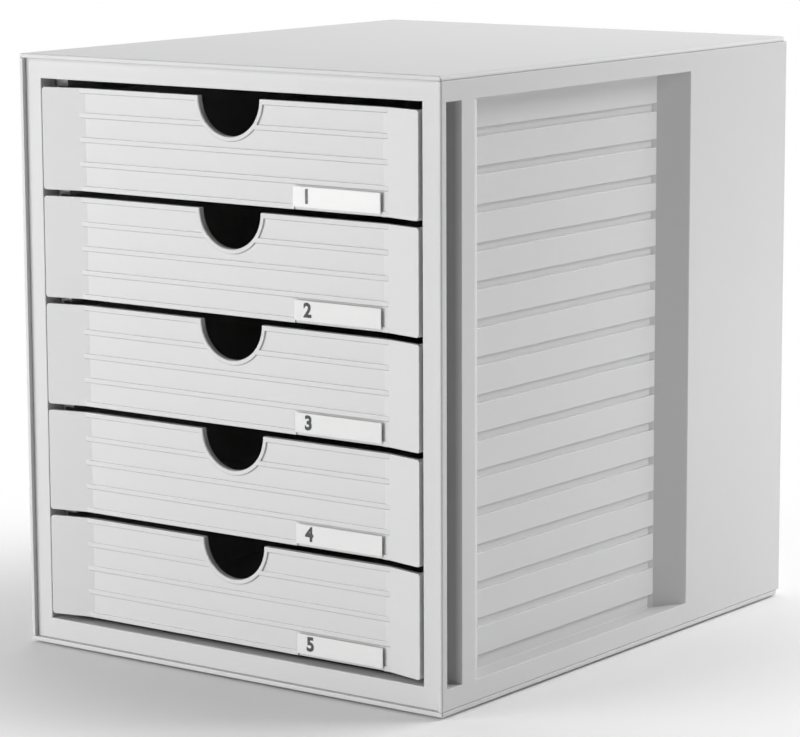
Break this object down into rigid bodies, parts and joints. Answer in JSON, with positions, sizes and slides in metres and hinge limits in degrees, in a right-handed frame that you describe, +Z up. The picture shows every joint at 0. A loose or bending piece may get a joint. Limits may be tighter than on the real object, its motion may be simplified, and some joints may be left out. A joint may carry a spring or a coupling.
{
  "type": "desktop drawer unit",
  "caption": "Closed box for a desk with a stack of shallow document drawers, half round finger notches, label channels and ribbed grip recesses in its sides.",
  "frame": {"origin": "on the desk, below the middle of the casing", "axes": "+X to the right as seen from the front, drawers open towards -Y, +Z up"},
  "size_m": [0.275, 0.33, 0.32],
  "materials": {
    "casing_plastic": "light grey, fine satin grain",
    "drawer_plastic": "light grey, fine satin grain",
    "clear_plastic": "clear, polished",
    "label_card": "white uncoated card",
    "foot_rubber": "dark grey, matt"
  },
  "bodies": {
    "casing": {"top_panel": "casing_plastic", "bottom_panel": "casing_plastic", "left_side_panel": "casing_plastic", "right_side_panel": "casing_plastic", "rear_panel": "casing_plastic", "front_frame": "casing_plastic", "left_runner_rack": "casing_plastic", "right_runner_rack": "casing_plastic", "foot_front_left": "foot_rubber", "foot_front_right": "foot_rubber", "foot_rear_left": "foot_rubber", "foot_rear_right": "foot_rubber"},
    "drawer_1": {"drawer_1": "drawer_plastic", "label_holder_1": "clear_plastic", "label_card_1": "label_card"},
    "drawer_2": {"drawer_2": "drawer_plastic", "label_holder_2": "clear_plastic", "label_card_2": "label_card"},
    "drawer_3": {"drawer_3": "drawer_plastic", "label_holder_3": "clear_plastic", "label_card_3": "label_card"},
    "drawer_4": {"drawer_4": "drawer_plastic", "label_holder_4": "clear_plastic", "label_card_4": "label_card"},
    "drawer_5": {"drawer_5": "drawer_plastic", "label_holder_5": "clear_plastic", "label_card_5": "label_card"}
  },
  "joints": [
    {"name": "drawer_1_slide", "type": "slide", "parent": "casing", "child": "drawer_1", "axis": [0, -1, 0], "range_m": [0, 0.235]},
    {"name": "drawer_2_slide", "type": "slide", "parent": "casing", "child": "drawer_2", "axis": [0, -1, 0], "range_m": [0, 0.235]},
    {"name": "drawer_3_slide", "type": "slide", "parent": "casing", "child": "drawer_3", "axis": [0, -1, 0], "range_m": [0, 0.235]},
    {"name": "drawer_4_slide", "type": "slide", "parent": "casing", "child": "drawer_4", "axis": [0, -1, 0], "range_m": [0, 0.235]},
    {"name": "drawer_5_slide", "type": "slide", "parent": "casing", "child": "drawer_5", "axis": [0, -1, 0], "range_m": [0, 0.235]}
  ]
}
